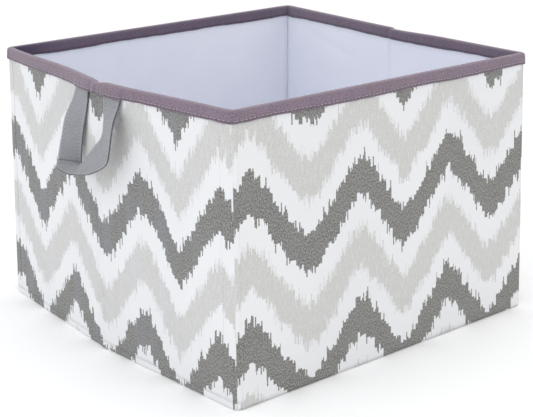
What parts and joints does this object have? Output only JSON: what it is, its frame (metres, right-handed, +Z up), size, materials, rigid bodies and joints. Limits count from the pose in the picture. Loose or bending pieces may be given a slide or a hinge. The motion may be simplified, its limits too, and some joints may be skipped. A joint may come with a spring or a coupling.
{
  "type": "fabric storage bin",
  "caption": "Open-topped folding cloth storage bin with board-stiffened printed walls, bound rim, lining, loose base and a webbing loop handle on each side.",
  "frame": {"origin": "centre of the floor's underside, at the level the bin stands on", "axes": "+Z up to the open rim; +X along the front wall, from the left side to the right side; +Y from the front wall to the back wall, so the front faces -Y"},
  "size_m": [0.4267, 0.3526, 0.25],
  "materials": {
    "print": "woven cotton printed with a zigzag of charcoal and light grey on white",
    "wall_board": "plain stiff board",
    "lining": "thin smooth non-woven lining, cool white",
    "binding": "mauve-grey bias tape with one row of stitching",
    "tray_cloth": "the same printed cloth as the walls",
    "base_board": "plain stiff board",
    "base_cloth": "thin smooth lining cloth, cool white",
    "strap": "grey cotton webbing"
  },
  "bodies": {
    "front": {"front_print": "print", "front_board": "wall_board", "front_lining": "lining", "front_binding": "binding", "floor_tray": "tray_cloth"},
    "back": {"back_print": "print", "back_board": "wall_board", "back_lining": "lining", "back_binding": "binding"},
    "base": {"base_board": "base_board", "base_cloth": "base_cloth"},
    "left_near": {"left_near_print": "print", "left_near_board": "wall_board", "left_near_lining": "lining", "left_near_binding": "binding"},
    "left_far": {"left_far_print": "print", "left_far_board": "wall_board", "left_far_lining": "lining", "left_far_binding": "binding"},
    "right_near": {"right_near_print": "print", "right_near_board": "wall_board", "right_near_lining": "lining", "right_near_binding": "binding"},
    "right_far": {"right_far_print": "print", "right_far_board": "wall_board", "right_far_lining": "lining", "right_far_binding": "binding"},
    "left_handle_near": {"left_strap_near": "strap"},
    "left_handle_far": {"left_strap_far": "strap"},
    "right_handle_near": {"right_strap_near": "strap"},
    "right_handle_far": {"right_strap_far": "strap"}
  },
  "joints": [
    {"name": "fold", "type": "hinge", "parent": "front", "child": "left_near", "pos_m": [-0.1712, -0.1687, 0], "axis": [0, 0, -1], "range_deg": [0, 88], "deforming": ["left_strap_near", "left_strap_far", "right_strap_near", "right_strap_far"]},
    {"name": "left_crease", "type": "hinge", "parent": "left_near", "child": "left_far", "pos_m": [-0.1968, 0, 0], "axis": [0, 0, 1], "range_deg": [0, 176]},
    {"name": "back_left_corner", "type": "hinge", "parent": "left_far", "child": "back", "pos_m": [-0.1712, 0.1687, 0], "axis": [0, 0, -1], "range_deg": [0, 88]},
    {"name": "front_right_corner", "type": "hinge", "parent": "front", "child": "right_near", "pos_m": [0.1712, -0.1687, 0], "axis": [0, 0, 1], "range_deg": [0, 81.84]},
    {"name": "right_crease", "type": "hinge", "parent": "right_near", "child": "right_far", "pos_m": [0.1788, 0, 0], "axis": [0, 0, -1], "range_deg": [0, 163.68]},
    {"name": "base_lift", "type": "slide", "parent": "front", "child": "base", "axis": [0, 0, 1], "range_m": [0, 0.3]},
    {"name": "left_handle_swing_near", "type": "hinge", "parent": "left_near", "child": "left_handle_near", "pos_m": [-0.19452, 0, 0.2389], "axis": [0, 1, 0], "range_deg": [0, 150]},
    {"name": "left_handle_swing_far", "type": "hinge", "parent": "left_far", "child": "left_handle_far", "pos_m": [-0.19452, 0, 0.2389], "axis": [0, 1, 0], "range_deg": [0, 150]},
    {"name": "right_handle_swing_near", "type": "hinge", "parent": "right_near", "child": "right_handle_near", "pos_m": [0.1789, 0, 0.2389], "axis": [0, -1, 0], "range_deg": [0, 150]},
    {"name": "right_handle_swing_far", "type": "hinge", "parent": "right_far", "child": "right_handle_far", "pos_m": [0.1789, 0, 0.2389], "axis": [0, -1, 0], "range_deg": [0, 150]}
  ],
  "couplings": [
    {"joint": "left_crease", "follows": "fold", "ratio": 2},
    {"joint": "back_left_corner", "follows": "fold", "ratio": 1},
    {"joint": "front_right_corner", "follows": "fold", "ratio": 0.93},
    {"joint": "right_crease", "follows": "fold", "ratio": 1.86},
    {"joint": "left_handle_swing_far", "follows": "left_handle_swing_near", "ratio": 1},
    {"joint": "right_handle_swing_far", "follows": "right_handle_swing_near", "ratio": 1}
  ]
}
